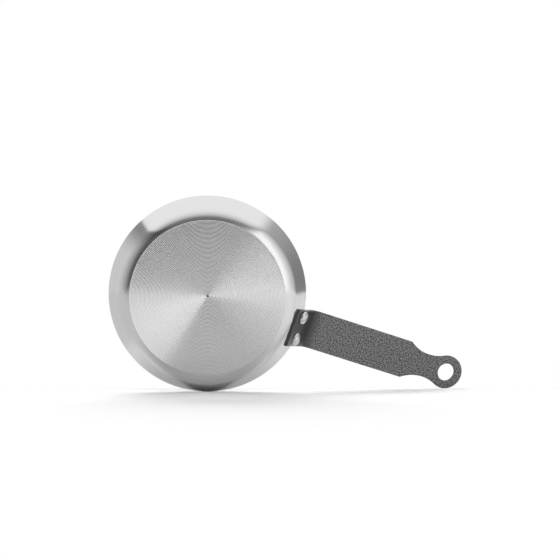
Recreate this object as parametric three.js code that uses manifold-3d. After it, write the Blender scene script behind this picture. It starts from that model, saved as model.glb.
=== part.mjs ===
// Blini pan: a small pan pressed from one steel sheet, with a bent strip handle held by two rivets.
// Millimetres, +Z up. The origin is the centre of the base's underside, and the handle points along +X.

import * as THREE from "three";
import { mergeVertices, toCreasedNormals } from "three/addons/utils/BufferGeometryUtils.js";
import Module from "manifold-3d";

// Pan, measured on the outside of the sheet, with the rim's height at its widest line
const RIM_DIAMETER = 120;
const RIM_HEIGHT = 19.5;
const BASE_DIAMETER = 94;
const BASE_BEND_RADIUS = 7;
const SHEET_THICKNESS = 2.5;
const LIP_ROUND = 0.7;

// Handle strip
const STRIP_WIDTH = 23.5;
const STRIP_THICKNESS = 2.5;
const STRIP_EDGE_ROUND = 0.9;
const MOST_EDGE_ROUND = 0.45; // share of the strip's thickness that each rounded edge may take
const TAB_BELOW_WALL = 2.8; // length of the tab past the straight of the wall, over the bend at the base
const BEND_ABOVE_RIM = 5.5;
const HANDLE_BEND_RADIUS = 12;
const HANDLE_RISE = THREE.MathUtils.degToRad(16.1);
const GRIP_LENGTH = 90.2;
const EYE_DIAMETER = 21;
const EYE_HOLE_DIAMETER = 10.6;
const NECK_WIDTH = 14.6;
const NECK_RADIUS = 24.1;

// Rivets
const RIVET_SPACING = 14;
const SHANK_DIAMETER = 5;
const OUTER_HEAD_DIAMETER = 7.8;
const OUTER_HEAD_HEIGHT = 1.9;
const INNER_HEAD_DIAMETER = 8.4;
const INNER_HEAD_HEIGHT = 1.5;
const HEAD_EDGE = 0.4;

// Gap that touching pieces keep, and how far cutting blocks and plates reach past what they cut
const CLEARANCE = 0.3;
const CUT_MARGIN = 1;
const FACE_MARGIN = 0.02;

// Facets
const PAN_SEGMENTS = 96;
const RIVET_SEGMENTS = 24;
const BEND_STEPS = 7;
const LIP_STEPS = 3;
const DOME_STEPS = 5;
const EDGE_STEPS = 3;
const EYE_STEPS = 28;
const CREASE_ANGLE = THREE.MathUtils.degToRad(35);

const wasm = await Module();
wasm.setup();

/** Unit vector at an angle in a plane. */
function direction(angle) {
  return new THREE.Vector2(Math.cos(angle), Math.sin(angle));
}

/** A point moved along several [vector, distance] pairs. */
function moved(point, ...moves) {
  return moves.reduce((p, [vector, distance]) => p.addScaledVector(vector, distance), point.clone());
}

/** Points along a circular arc, both ends included. */
function arc(centre, radius, from, to, steps) {
  return Array.from({ length: steps + 1 }, (_, i) =>
    moved(centre, [direction(from + ((to - from) * i) / steps), radius]),
  );
}

/** A profile of (radius, height) points turned about the Z axis. */
function turned(profile, segments) {
  return new THREE.LatheGeometry(profile, segments).rotateX(Math.PI / 2);
}

/** A closed geometry as a solid that can be cut and joined. */
function solid(geometry) {
  const bare = geometry.clone();
  bare.deleteAttribute("normal");
  bare.deleteAttribute("uv");
  const merged = mergeVertices(bare);
  return new wasm.Manifold(
    new wasm.Mesh({
      numProp: 3,
      vertProperties: merged.attributes.position.array,
      triVerts: Uint32Array.from(merged.index.array),
    }),
  );
}

/** A named mesh of a finished solid. */
function piece(name, made, material) {
  const { vertProperties, triVerts } = made.getMesh();
  const geometry = new THREE.BufferGeometry();
  geometry.setAttribute("position", new THREE.BufferAttribute(vertProperties, 3));
  geometry.setIndex(new THREE.BufferAttribute(triVerts, 1));
  const mesh = new THREE.Mesh(toCreasedNormals(geometry, CREASE_ANGLE), material);
  mesh.name = name;
  return mesh;
}

// The straight of the wall is tangent to the bend at the base and to the rounding of the lip.
const lipRound = Math.min(LIP_ROUND, SHEET_THICKNESS / 2);
const baseBend = new THREE.Vector2(BASE_DIAMETER / 2, BASE_BEND_RADIUS);
const outerLip = new THREE.Vector2(RIM_DIAMETER / 2 - lipRound, RIM_HEIGHT);
const bendToLip = outerLip.clone().sub(baseBend);
const wallAngle = bendToLip.angle() + Math.asin((BASE_BEND_RADIUS - lipRound) / bendToLip.length());
const wallNormal = wallAngle - Math.PI / 2;
const upWall = direction(wallAngle);
const outOfWall = direction(wallNormal);
const wallFoot = moved(baseBend, [outOfWall, BASE_BEND_RADIUS]);
const wallTop = moved(outerLip, [outOfWall, lipRound]);
const wallLength = wallFoot.distanceTo(wallTop);

/** Section of the pan from the axis out to the lip and back, for a sheet of a given thickness. */
function panProfile(thickness) {
  const innerLip = moved(outerLip, [outOfWall, 2 * lipRound - thickness]);
  return [
    new THREE.Vector2(0, 0),
    ...arc(baseBend, BASE_BEND_RADIUS, -Math.PI / 2, wallNormal, BEND_STEPS),
    ...arc(outerLip, lipRound, wallNormal, wallAngle, LIP_STEPS),
    ...arc(innerLip, lipRound, wallAngle, wallAngle + Math.PI / 2, LIP_STEPS),
    ...arc(baseBend, BASE_BEND_RADIUS - thickness, wallNormal, -Math.PI / 2, BEND_STEPS),
    new THREE.Vector2(0, thickness),
  ];
}

// The rivets stand square to the tab, half-way up the straight of the wall. Their frame has its origin on
// the tab's outer face, +Z out of the wall and +Y across the handle.
const tabOuterFace = CLEARANCE + STRIP_THICKNESS;
const rivetUpWall = wallLength / 2;
const rivetSeat = moved(wallFoot, [upWall, rivetUpWall], [outOfWall, tabOuterFace]);
const rivetFrame = new THREE.Group();
rivetFrame.position.set(rivetSeat.x, 0, rivetSeat.y);
rivetFrame.rotation.y = Math.PI - wallAngle;
rivetFrame.updateMatrix();
const rivetPlaces = { rivet_left: RIVET_SPACING / 2, rivet_right: -RIVET_SPACING / 2 };

/** Where a rivet at a distance across the handle stands in the part's frame. */
function rivetMatrix(across) {
  return rivetFrame.matrix.clone().multiply(new THREE.Matrix4().makeTranslation(0, across, 0));
}

// How far the curved wall falls away behind the flat tab at the rivets.
const wallBehindRivet = moved(wallFoot, [upWall, rivetUpWall], [outOfWall, -SHEET_THICKNESS]);
const wallCurveRadius = wallBehindRivet.x / Math.sin(wallAngle);
const wallFall = (RIVET_SPACING / 2) ** 2 / (2 * wallCurveRadius);
const innerHeadSeat = -(tabOuterFace + SHEET_THICKNESS + wallFall + CLEARANCE);
const innerHeadTop = innerHeadSeat - INNER_HEAD_HEIGHT;

/** The clearance holes that both rivets pass through, in the part's frame. */
function rivetHoles() {
  const radius = SHANK_DIAMETER / 2 + CLEARANCE;
  const depth = CUT_MARGIN - innerHeadTop;
  return Object.values(rivetPlaces)
    .map((across) => {
      const hole = new THREE.CylinderGeometry(radius, radius, depth, RIVET_SEGMENTS).rotateX(Math.PI / 2);
      hole.translate(0, 0, CUT_MARGIN - depth / 2);
      return solid(hole.applyMatrix4(rivetMatrix(across)));
    })
    .reduce((all, hole) => all.add(hole));
}

/** The pressed pan with its two rivet holes. */
function panBody() {
  return solid(turned(panProfile(SHEET_THICKNESS), PAN_SEGMENTS)).subtract(rivetHoles());
}

// The strip lies along the wall, bends outwards above the rim and runs straight to the eye.
const edgeRound = Math.min(STRIP_EDGE_ROUND, MOST_EDGE_ROUND * STRIP_THICKNESS);
const alongGrip = direction(HANDLE_RISE);
const underGrip = direction(HANDLE_RISE - Math.PI / 2);
const tabFoot = moved(wallFoot, [outOfWall, CLEARANCE], [upWall, -TAB_BELOW_WALL]);
const bendStart = moved(wallTop, [outOfWall, CLEARANCE], [upWall, BEND_ABOVE_RIM]);
const handleBend = moved(bendStart, [outOfWall, STRIP_THICKNESS + HANDLE_BEND_RADIUS]);
const gripStart = moved(handleBend, [underGrip, -HANDLE_BEND_RADIUS - STRIP_THICKNESS]);
const eyeTop = moved(gripStart, [alongGrip, GRIP_LENGTH]);
const eyeCentre = moved(eyeTop, [underGrip, STRIP_THICKNESS / 2]);
const eyeRadius = EYE_DIAMETER / 2;

/** The bent strip at its full width, with rounded long edges and no eye cut yet. */
function bentStrip() {
  const bendFrom = wallAngle + Math.PI / 2;
  const bendTo = HANDLE_RISE + Math.PI / 2;
  const stripEnd = moved(eyeTop, [alongGrip, eyeRadius + CUT_MARGIN]);
  const profile = new THREE.Shape([
    tabFoot,
    ...arc(handleBend, HANDLE_BEND_RADIUS + STRIP_THICKNESS, bendFrom, bendTo, BEND_STEPS),
    stripEnd,
    moved(stripEnd, [underGrip, STRIP_THICKNESS]),
    ...arc(handleBend, HANDLE_BEND_RADIUS, bendTo, bendFrom, BEND_STEPS),
    moved(tabFoot, [outOfWall, STRIP_THICKNESS]),
  ]);
  const depth = STRIP_WIDTH - 2 * edgeRound;
  const strip = new THREE.ExtrudeGeometry(profile, { depth, ...roundedEdges(edgeRound) });
  return solid(strip.rotateX(Math.PI / 2).translate(0, depth / 2, 0));
}

/** Extrusion settings that round an outline's edges inwards. */
function roundedEdges(round) {
  return {
    bevelEnabled: true,
    bevelThickness: round,
    bevelSize: round,
    bevelOffset: -round,
    bevelSegments: EDGE_STEPS,
  };
}

// Round neck and eye in the grip's own plane: (u, v) from the eye's centre, u along the grip.
const neckCentreV = NECK_WIDTH / 2 + NECK_RADIUS;
const neckCentreU = -Math.sqrt((eyeRadius + NECK_RADIUS) ** 2 - neckCentreV ** 2);
const eyeToNeck = Math.atan2(neckCentreV, neckCentreU);
const shoulderV = STRIP_WIDTH / 2 + CUT_MARGIN;
const shoulderSweep = Math.acos((neckCentreV - shoulderV) / NECK_RADIUS);
const shoulderU = neckCentreU - NECK_RADIUS * Math.sin(shoulderSweep);

/** A geometry drawn in the grip's plane, moved to where the grip is. */
function onGrip(geometry) {
  return geometry.rotateY(-HANDLE_RISE).translate(eyeCentre.x, 0, eyeCentre.y);
}

/** The neck and the eye with its hanging hole, a little thicker than the strip that they are cut from. */
function eyePlate() {
  const back = shoulderU - 2 * CUT_MARGIN;
  const outline = new THREE.Shape([
    new THREE.Vector2(back, -shoulderV),
    ...arc(
      new THREE.Vector2(neckCentreU, -neckCentreV),
      NECK_RADIUS,
      Math.PI / 2 + shoulderSweep,
      Math.PI - eyeToNeck,
      BEND_STEPS,
    ),
    ...arc(new THREE.Vector2(0, 0), eyeRadius, -eyeToNeck, eyeToNeck, EYE_STEPS),
    ...arc(
      new THREE.Vector2(neckCentreU, neckCentreV),
      NECK_RADIUS,
      eyeToNeck - Math.PI,
      -Math.PI / 2 - shoulderSweep,
      BEND_STEPS,
    ),
    new THREE.Vector2(back, shoulderV),
  ]);
  const hole = arc(new THREE.Vector2(0, 0), EYE_HOLE_DIAMETER / 2, 2 * Math.PI, 0, EYE_STEPS);
  outline.holes.push(new THREE.Path(hole.slice(0, -1)));
  const depth = STRIP_THICKNESS + 2 * FACE_MARGIN - 2 * edgeRound;
  const plate = new THREE.ExtrudeGeometry(outline, { depth, ...roundedEdges(edgeRound) });
  return solid(onGrip(plate.translate(0, 0, -depth / 2)));
}

/** The block of strip around the neck and the eye, from the shoulders to past the end. */
function eyeBlock() {
  const from = shoulderU - CUT_MARGIN;
  const to = eyeRadius + 2 * CUT_MARGIN;
  const block = new THREE.BoxGeometry(
    to - from,
    2 * (shoulderV + CUT_MARGIN),
    STRIP_THICKNESS + 2 * CUT_MARGIN,
  );
  return solid(onGrip(block.translate((from + to) / 2, 0, 0)));
}

/** The bent strip with its neck, eye, hanging hole and rivet holes. */
function handle() {
  const waste = eyeBlock().subtract(eyePlate());
  return bentStrip().subtract(waste).subtract(rivetHoles());
}

/** Section of a low dome from its rim at a height to its top on the axis. */
function dome(radius, rimHeight, topHeight) {
  return Array.from({ length: DOME_STEPS + 1 }, (_, i) => {
    const turn = (i / DOME_STEPS) * (Math.PI / 2);
    const height = rimHeight + (topHeight - rimHeight) * Math.sin(turn);
    return new THREE.Vector2(i === DOME_STEPS ? 0 : radius * Math.cos(turn), height);
  });
}

/** A rivet in its own frame: outer head on the tab, shank, and an inner head formed against the wall. */
function rivet(across) {
  const shankRadius = SHANK_DIAMETER / 2;
  const outerRadius = OUTER_HEAD_DIAMETER / 2;
  const innerRadius = INNER_HEAD_DIAMETER / 2;
  const shankEnd = (innerHeadSeat + innerHeadTop) / 2;
  const headAndShank = turned(
    [
      new THREE.Vector2(0, shankEnd),
      new THREE.Vector2(shankRadius, shankEnd),
      new THREE.Vector2(shankRadius, CLEARANCE),
      new THREE.Vector2(outerRadius, CLEARANCE),
      ...dome(outerRadius, CLEARANCE + HEAD_EDGE, CLEARANCE + OUTER_HEAD_HEIGHT),
    ],
    RIVET_SEGMENTS,
  );
  const innerHead = turned(
    [
      ...dome(innerRadius, innerHeadSeat - HEAD_EDGE, innerHeadTop).reverse(),
      new THREE.Vector2(innerRadius, -tabOuterFace),
      new THREE.Vector2(0, -tabOuterFace),
    ],
    RIVET_SEGMENTS,
  );
  const wall = turned(panProfile(SHEET_THICKNESS + CLEARANCE), PAN_SEGMENTS);
  wall.applyMatrix4(rivetMatrix(across).invert());
  const formedHead = solid(innerHead).subtract(solid(wall));
  return solid(headAndShank).add(formedHead);
}

const rawSteel = new THREE.MeshStandardMaterial({ color: 0xc6c6c4, roughness: 0.35, metalness: 1 });
const mottledPaint = new THREE.MeshStandardMaterial({ color: 0x5c5e5f, roughness: 0.5, metalness: 0.3 });

const pan = new THREE.Group();
pan.add(piece("pan_body", panBody(), rawSteel));
pan.add(piece("handle", handle(), mottledPaint));
for (const [name, across] of Object.entries(rivetPlaces)) {
  const rivetSteel = new THREE.MeshStandardMaterial({ color: 0xb8b8b6, roughness: 0.3, metalness: 1 });
  const mesh = piece(name, rivet(across), rivetSteel);
  mesh.position.y = across;
  rivetFrame.add(mesh);
}
pan.add(rivetFrame);

export default pan;
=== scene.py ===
"""Looks of a small blini pan: bare turned steel, a hammer-painted strip handle and two rivets.

Everything is in metres in the part's own frame: the origin is the centre of the base's underside, +Z points
up out of the pan's mouth and +X along the handle. The photograph looks at the underside while the pan stands
on its rim, so the studio is laid out in the photograph's own directions: right, up and towards the camera.
"""

import logging
import math
from collections.abc import Callable, Mapping, Sequence
from dataclasses import dataclass
from enum import Enum

import bmesh
import bpy
from mathutils import Matrix, Vector
from mathutils.geometry import delaunay_2d_cdt

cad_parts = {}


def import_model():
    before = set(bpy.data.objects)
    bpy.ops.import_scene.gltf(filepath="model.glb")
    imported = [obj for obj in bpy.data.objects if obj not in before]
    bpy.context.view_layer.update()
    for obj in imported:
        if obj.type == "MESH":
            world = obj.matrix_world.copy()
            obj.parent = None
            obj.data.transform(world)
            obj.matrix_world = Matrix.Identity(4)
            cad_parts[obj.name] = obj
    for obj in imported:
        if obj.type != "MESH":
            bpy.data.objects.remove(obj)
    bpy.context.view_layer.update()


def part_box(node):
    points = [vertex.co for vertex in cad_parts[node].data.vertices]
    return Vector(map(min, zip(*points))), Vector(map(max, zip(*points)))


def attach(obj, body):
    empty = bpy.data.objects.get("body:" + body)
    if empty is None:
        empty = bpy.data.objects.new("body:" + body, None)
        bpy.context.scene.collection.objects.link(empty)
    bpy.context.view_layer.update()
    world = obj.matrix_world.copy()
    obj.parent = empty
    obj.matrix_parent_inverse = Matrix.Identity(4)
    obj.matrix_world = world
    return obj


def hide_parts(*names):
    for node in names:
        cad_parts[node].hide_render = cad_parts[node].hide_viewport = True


LOG = logging.getLogger("blini_pan")
MM = 0.001
BODY = "root"
UV_NAME = "UVMap"
QUARTER = math.pi / 2
TINY = 1e-6
# Distance between the rows of an even triangular mesh, in mesh steps
ROW = math.sin(math.pi / 3)
# The stretch of a cloudy noise in which most of its values lie
CLOUDS = (0.3, 0.7)
# How far the cells of the hammered mottle are off an even grid
CELL_RANDOMNESS = 0.8
# Turn of the steel's stretched gloss from the tangent, in full turns
ROUND_AXIS = 0.25
# Kind of a shape tree's input for each type of value
SOCKETS = {
    int: "NodeSocketInt",
    float: "NodeSocketFloat",
    tuple: "NodeSocketVector",
    bpy.types.Material: "NodeSocketMaterial",
}

Pair = tuple[float, float]
Point = Pair
Triple = tuple[float, float, float]
Colour = tuple[float, float, float, float]
Socket = bpy.types.NodeSocket


class Slot(Enum):
    """The record's material slots."""

    PAN = "raw_steel"
    HANDLE = "mottled_paint"
    RIVETS = "rivet_steel"


class RayKind(Enum):
    """Kinds of ray that can see a stage object, by the property that switches them."""

    CAMERA = "visible_camera"
    DIFFUSE = "visible_diffuse"
    GLOSSY = "visible_glossy"
    TRANSMISSION = "visible_transmission"
    VOLUME = "visible_volume_scatter"
    SHADOW = "visible_shadow"


def grey(level: float) -> Colour:
    """An opaque neutral colour of a given linear level."""
    return (level, level, level, 1.0)


def direction(angle: float) -> Vector:
    """Unit vector at an angle in a plane."""
    return Vector((math.cos(angle), math.sin(angle)))


def arc(centre: Vector, radius: float, start: float, end: float, steps: int) -> list[Point]:
    """Points along a circular arc.

    Args:
        centre: Centre of the arc in its plane.
        radius: Radius of the arc.
        start: Angle of the first point.
        end: Angle of the last point.
        steps: Number of equal steps.

    Returns:
        The points, both ends included.
    """
    turn = (end - start) / steps
    return [tuple(centre + radius * direction(start + turn * i)) for i in range(steps + 1)]


def stretch(start: Point, end: Point, steps: int) -> list[Point]:
    """Points along a straight line, both ends included."""
    first, last = Vector(start), Vector(end)
    return [tuple(first.lerp(last, i / steps)) for i in range(steps + 1)]


def without_repeats(points: Sequence[Point]) -> list[Point]:
    """A list of points with each point that repeats the one before it left out."""
    return [p for i, p in enumerate(points) if i == 0 or (Vector(p) - Vector(points[i - 1])).length > TINY]


class Graph:
    """Adds nodes to a node tree, so that a tree reads as a list of steps."""

    def __init__(self, tree: bpy.types.NodeTree) -> None:
        """Take the tree that the nodes go into."""
        self.tree = tree

    def node(
        self, kind: str, inputs: Mapping[str | int, object] | None = None, **settings: object
    ) -> bpy.types.Node:
        """Add a node.

        Args:
            kind: Blender's type name of the node.
            inputs: Values or sockets for the node's inputs, by name or place.
            settings: Properties of the node itself.

        Returns:
            The new node.
        """
        made = self.tree.nodes.new(kind)
        for name, value in settings.items():
            setattr(made, name, value)
        for key, value in (inputs or {}).items():
            if isinstance(value, Socket):
                self.tree.links.new(value, made.inputs[key])
            else:
                made.inputs[key].default_value = value
        return made

    def math(self, operation: str, first: object, second: object = 0.0) -> Socket:
        """The result of a sum on two values or sockets."""
        return self.node("ShaderNodeMath", {0: first, 1: second}, operation=operation).outputs[0]

    def ramp(
        self, value: Socket, ends: tuple[object, object], to: tuple[object, object] = (0.0, 1.0)
    ) -> Socket:
        """A smooth step from one number to another.

        Args:
            value: Socket that drives the step.
            ends: Driving values at which the step begins and ends.
            to: Numbers before and after the step.

        Returns:
            The socket of the result.
        """
        names = ("From Min", "From Max", "To Min", "To Max")
        inputs = dict(zip(names, (*ends, *to), strict=True))
        made = self.node("ShaderNodeMapRange", {"Value": value, **inputs}, interpolation_type="SMOOTHSTEP")
        return made.outputs["Result"]

    def blend(self, factor: object, first: object, second: object) -> Socket:
        """A colour between two colours."""
        made = self.node("ShaderNodeMix", {0: factor, 6: first, 7: second}, data_type="RGBA")
        return made.outputs[2]

    def cells(self, place: Socket, size: object) -> Socket:
        """Distance from the middle of the nearest of many cells on a flat sheet, counted in cell sizes."""
        inputs = {"Vector": place, "Scale": self.math("DIVIDE", 1.0, size), "Randomness": CELL_RANDOMNESS}
        return self.node("ShaderNodeTexVoronoi", inputs, voronoi_dimensions="2D").outputs["Distance"]

    def parts(self, vector: Socket) -> bpy.types.NodeOutputs:
        """The X, Y and Z sockets of a vector."""
        return self.node("ShaderNodeSeparateXYZ", {0: vector}).outputs

    def length(self, first: object, second: object) -> Socket:
        """The length of the diagonal over two sides."""
        squares = [self.math("MULTIPLY", side, side) for side in (first, second)]
        return self.math("SQRT", self.math("ADD", *squares))

    def vector(self, x: object, y: object, z: object = 0.0) -> Socket:
        """A vector of three values or sockets."""
        return self.node("ShaderNodeCombineXYZ", {0: x, 1: y, 2: z}).outputs[0]


class ShapeTree(Graph):
    """A Geometry Nodes tree with named inputs, which shapes one piece and is then made plain mesh."""

    def __init__(self, name: str, values: Mapping[str, object]) -> None:
        """Start the tree.

        Args:
            name: Name of the tree.
            values: Value of each input, by the input's name. Its type gives the kind of socket.
        """
        super().__init__(bpy.data.node_groups.new(name, "GeometryNodeTree"))
        self.values = values
        face = self.tree.interface
        face.new_socket("Geometry", in_out="INPUT", socket_type="NodeSocketGeometry")
        for label, value in values.items():
            face.new_socket(label, in_out="INPUT", socket_type=SOCKETS[type(value)])
        face.new_socket("Geometry", in_out="OUTPUT", socket_type="NodeSocketGeometry")
        self.given = self.node("NodeGroupInput").outputs

    def place(self) -> Socket:
        """The place of each point."""
        return self.node("GeometryNodeInputPosition").outputs[0]

    def moved(self, shape: Socket, **inputs: object) -> Socket:
        """A shape with its points moved to a Position or by an Offset."""
        return self.node("GeometryNodeSetPosition", {"Geometry": shape, **inputs}).outputs[0]

    def scaled(self, vector: Socket, factor: Socket) -> Socket:
        """A vector times a number."""
        return self.node("ShaderNodeVectorMath", {0: vector, "Scale": factor}, operation="SCALE").outputs[0]

    def added(self, first: Socket, second: Socket) -> Socket:
        """The sum of two vectors."""
        return self.node("ShaderNodeVectorMath", {0: first, 1: second}).outputs[0]

    def turned(self, profile: Socket, segments: Socket) -> Socket:
        """A closed shape turned from a profile about the Z axis, with its seam and poles merged.

        Args:
            profile: Line of points in the XZ plane, from the axis round the outside and back to the axis.
            segments: Number of facets round the axis.

        Returns:
            The turned shape, whose UV map runs round it and along the profile.
        """
        count = self.node("GeometryNodeAttributeDomainSize", {"Geometry": profile}).outputs["Point Count"]
        columns = self.math("ADD", segments, 1.0)
        grid = self.node("GeometryNodeMeshGrid", {"Vertices X": columns, "Vertices Y": count})
        index = self.node("GeometryNodeInputIndex").outputs[0]
        row = self.math("MODULO", index, count)
        column = self.math("FLOOR", self.math("DIVIDE", self.math("ADD", index, 0.5), count))
        point = self.node(
            "GeometryNodeSampleIndex",
            {"Geometry": profile, "Value": self.place(), "Index": row},
            data_type="FLOAT_VECTOR",
        ).outputs[0]
        angle = self.math("MULTIPLY", self.math("DIVIDE", column, segments), math.tau)
        spun = self.node("ShaderNodeVectorRotate", {"Vector": point, "Angle": angle}, rotation_type="Z_AXIS")
        named = self.mapped(grid.outputs["Mesh"], grid.outputs["UV Map"])
        shape = self.moved(named, Position=spun.outputs[0])
        return self.node("GeometryNodeMergeByDistance", {"Geometry": shape, "Distance": TINY}).outputs[0]

    def mapped(self, shape: Socket, place: Socket) -> Socket:
        """Give a shape a UV map.

        Args:
            shape: The shape.
            place: Flat place of each corner.

        Returns:
            The shape, which keeps those places as its map.
        """
        inputs = {"Geometry": shape, "Name": UV_NAME, "Value": place}
        made = self.node("GeometryNodeStoreNamedAttribute", inputs, data_type="FLOAT2", domain="CORNER")
        return made.outputs[0]

    def pushed(self, shape: Socket, height: Socket) -> Socket:
        """A shape with its points pushed out along their normals by a height."""
        normal = self.node("GeometryNodeInputNormal").outputs[0]
        return self.moved(shape, Offset=self.scaled(normal, height))

    def realized(self, shape: Socket) -> Socket:
        """A shape with its instances made real."""
        return self.node("GeometryNodeRealizeInstances", {"Geometry": shape}).outputs[0]

    def close(self, shape: Socket, finishes: Mapping[str, object]) -> None:
        """Shade a finished shape smooth, make it real, dress it and send it out.

        Args:
            shape: The finished shape.
            finishes: The faces that each finish goes on, True for all, by the name of the finish's input.
        """
        smooth = self.node("GeometryNodeSetShadeSmooth", {"Geometry": shape}).outputs[0]
        made = self.realized(smooth)
        for label, faces in finishes.items():
            inputs = {"Geometry": made, "Selection": faces, "Material": self.given[label]}
            made = self.node("GeometryNodeSetMaterial", inputs).outputs[0]
        self.node("NodeGroupOutput", {"Geometry": made})

    def shape(self, piece: bpy.types.Object, crease: float) -> bpy.types.Object:
        """Run the tree on an object and keep the result as its plain mesh.

        Args:
            piece: Object that holds the starting mesh.
            crease: Angle between faces past which an edge is shaded sharp.

        Returns:
            The same object, with no modifier left on it.
        """
        modifier = piece.modifiers.new(self.tree.name, "NODES")
        modifier.node_group = self.tree
        for item in self.tree.interface.items_tree:
            if item.in_out == "INPUT" and item.name in self.values:
                modifier[item.identifier] = self.values[item.name]
        graph = bpy.context.evaluated_depsgraph_get()
        mesh = bpy.data.meshes.new_from_object(
            piece.evaluated_get(graph), preserve_all_data_layers=True, depsgraph=graph
        )
        start = piece.data
        piece.modifiers.remove(modifier)
        piece.data = mesh
        bpy.data.meshes.remove(start)
        mesh.name = piece.name
        mesh.set_sharp_from_angle(angle=crease)
        return piece


class Paint(Graph):
    """The node tree of a material around one Principled shader."""

    def __init__(self, name: str, constants: Mapping[str, object]) -> None:
        """Start the material.

        Args:
            name: Name of the material.
            constants: Values of the shader's own sockets that are the same all over the surface.
        """
        self.material = bpy.data.materials.new(name)
        self.material.use_nodes = True
        super().__init__(self.material.node_tree)
        self.shader = self.tree.nodes["Principled BSDF"]
        for label, value in constants.items():
            self.shader.inputs[label].default_value = value
        self.place = self.node("ShaderNodeTexCoord").outputs["Object"]

    def set(self, **sockets: Socket) -> None:
        """Link sockets to the shader, with an underscore for each space in an input's name."""
        for label, socket in sockets.items():
            self.tree.links.new(socket, self.shader.inputs[label.replace("_", " ")])

    def noise(self, place: Socket, size: float, detail: float = 2.0) -> Socket:
        """Cloudy noise from 0 to 1, whose cells are about a given size."""
        inputs = {"Vector": place, "Scale": 1 / size, "Detail": detail}
        return self.node("ShaderNodeTexNoise", inputs).outputs[0]

    def bump(self, height: Socket, depth: float) -> Socket:
        """A normal bent by a height map of a given depth."""
        made = self.node("ShaderNodeBump", {"Strength": 1.0, "Distance": depth, "Height": height})
        return made.outputs[0]

    def rings(self, centre: Point) -> Socket:
        """A place that is the same all round an upright axis.

        Args:
            centre: Where the axis stands.

        Returns:
            The socket of the place: the radius, the height and nothing.
        """
        x, y, z = self.parts(self.place)
        radius = self.length(self.math("SUBTRACT", x, centre[0]), self.math("SUBTRACT", y, centre[1]))
        return self.vector(radius, z)

    def flat(self) -> Socket:
        """The place on the flat sheet that a piece was cut from."""
        return self.node("ShaderNodeUVMap", uv_map=UV_NAME).outputs[0]

    def along_rings(self) -> Socket:
        """The direction round the Z axis on a turned piece."""
        return self.node("ShaderNodeTangent", direction_type="UV_MAP", uv_map=UV_NAME).outputs[0]


class StageGraph(Graph):
    """The node tree of a stage object's material."""

    def __init__(self, name: str) -> None:
        """Start the material with an empty tree.

        Args:
            name: Name of the material.
        """
        self.material = bpy.data.materials.new(name)
        self.material.use_nodes = True
        super().__init__(self.material.node_tree)
        self.tree.nodes.clear()
        self.aside, self.along, _ = self.parts(self.node("ShaderNodeTexCoord").outputs["Object"])

    def glow(self, level: object) -> Socket:
        """White light of a given strength."""
        return self.node("ShaderNodeEmission", {"Color": grey(1.0), "Strength": level}).outputs[0]

    def pale(self, colour: object) -> Socket:
        """A matt surface of a given colour."""
        return self.node("ShaderNodeBsdfDiffuse", {"Color": colour}).outputs[0]

    def from_above(self, surface: Socket, gone: object = 0.0) -> Socket:
        """A surface that is clear from below.

        Args:
            surface: The surface seen from above.
            gone: How clear it is from above, from 0 to 1.

        Returns:
            The socket of the result.
        """
        unseen = self.math("MAXIMUM", self.node("ShaderNodeNewGeometry").outputs["Backfacing"], gone)
        clear = self.node("ShaderNodeBsdfTransparent").outputs[0]
        return self.node("ShaderNodeMixShader", {0: unseen, 1: surface, 2: clear}).outputs[0]

    def made(self, surface: Socket) -> bpy.types.Material:
        """The material, once its surface is known."""
        self.node("ShaderNodeOutputMaterial", {"Surface": surface})
        return self.material


@dataclass(frozen=True)
class TurnedSteel:
    """Bare steel with fine rings round the pan's axis.

    Attributes:
        name: Name of the material.
        levels: Linear levels of the darker and the lighter rings.
        roughness: Least and most roughness.
        stretch: How much rougher the steel is across the rings than along them, from 0 to 1.
        ring: Width of a fine ring.
        scratch: Depth of a fine ring.
        stain: Size of the cloudy patches left by handling.
        centre: Place of the rings' centre.
        mark: Radius of the dark mark of the lathe's centre, 0 for none.
        mark_level: Linear level of that mark.
    """

    name: str
    levels: Pair
    roughness: Pair
    stretch: float
    ring: float
    scratch: float = 0.0002 * MM
    stain: float = 14 * MM
    centre: Point = (0.0, 0.0)
    mark: float = 0.0
    mark_level: float = 0.04

    def material(self) -> bpy.types.Material:
        """Make the material.

        Returns:
            The material.
        """
        constants = {"Metallic": 1.0, "Anisotropic": self.stretch, "Anisotropic Rotation": ROUND_AXIS}
        paint = Paint(self.name, constants)
        place = paint.rings(self.centre)
        rings = paint.noise(place, self.ring, detail=3.0)
        stains = paint.noise(paint.place, self.stain, detail=4.0)
        wear = paint.math("MULTIPLY", paint.math("ADD", rings, stains), 0.5)
        dark, light = map(grey, self.levels)
        colour = paint.blend(paint.ramp(rings, CLOUDS), dark, light)
        if self.mark:
            off_mark = paint.ramp(paint.parts(place)["X"], (self.mark / 2, self.mark))
            colour = paint.blend(off_mark, grey(self.mark_level), colour)
        paint.set(
            Base_Color=colour,
            Roughness=paint.ramp(wear, CLOUDS, self.roughness),
            Normal=paint.bump(rings, self.scratch),
            Tangent=paint.along_rings(),
        )
        return paint.material


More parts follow.
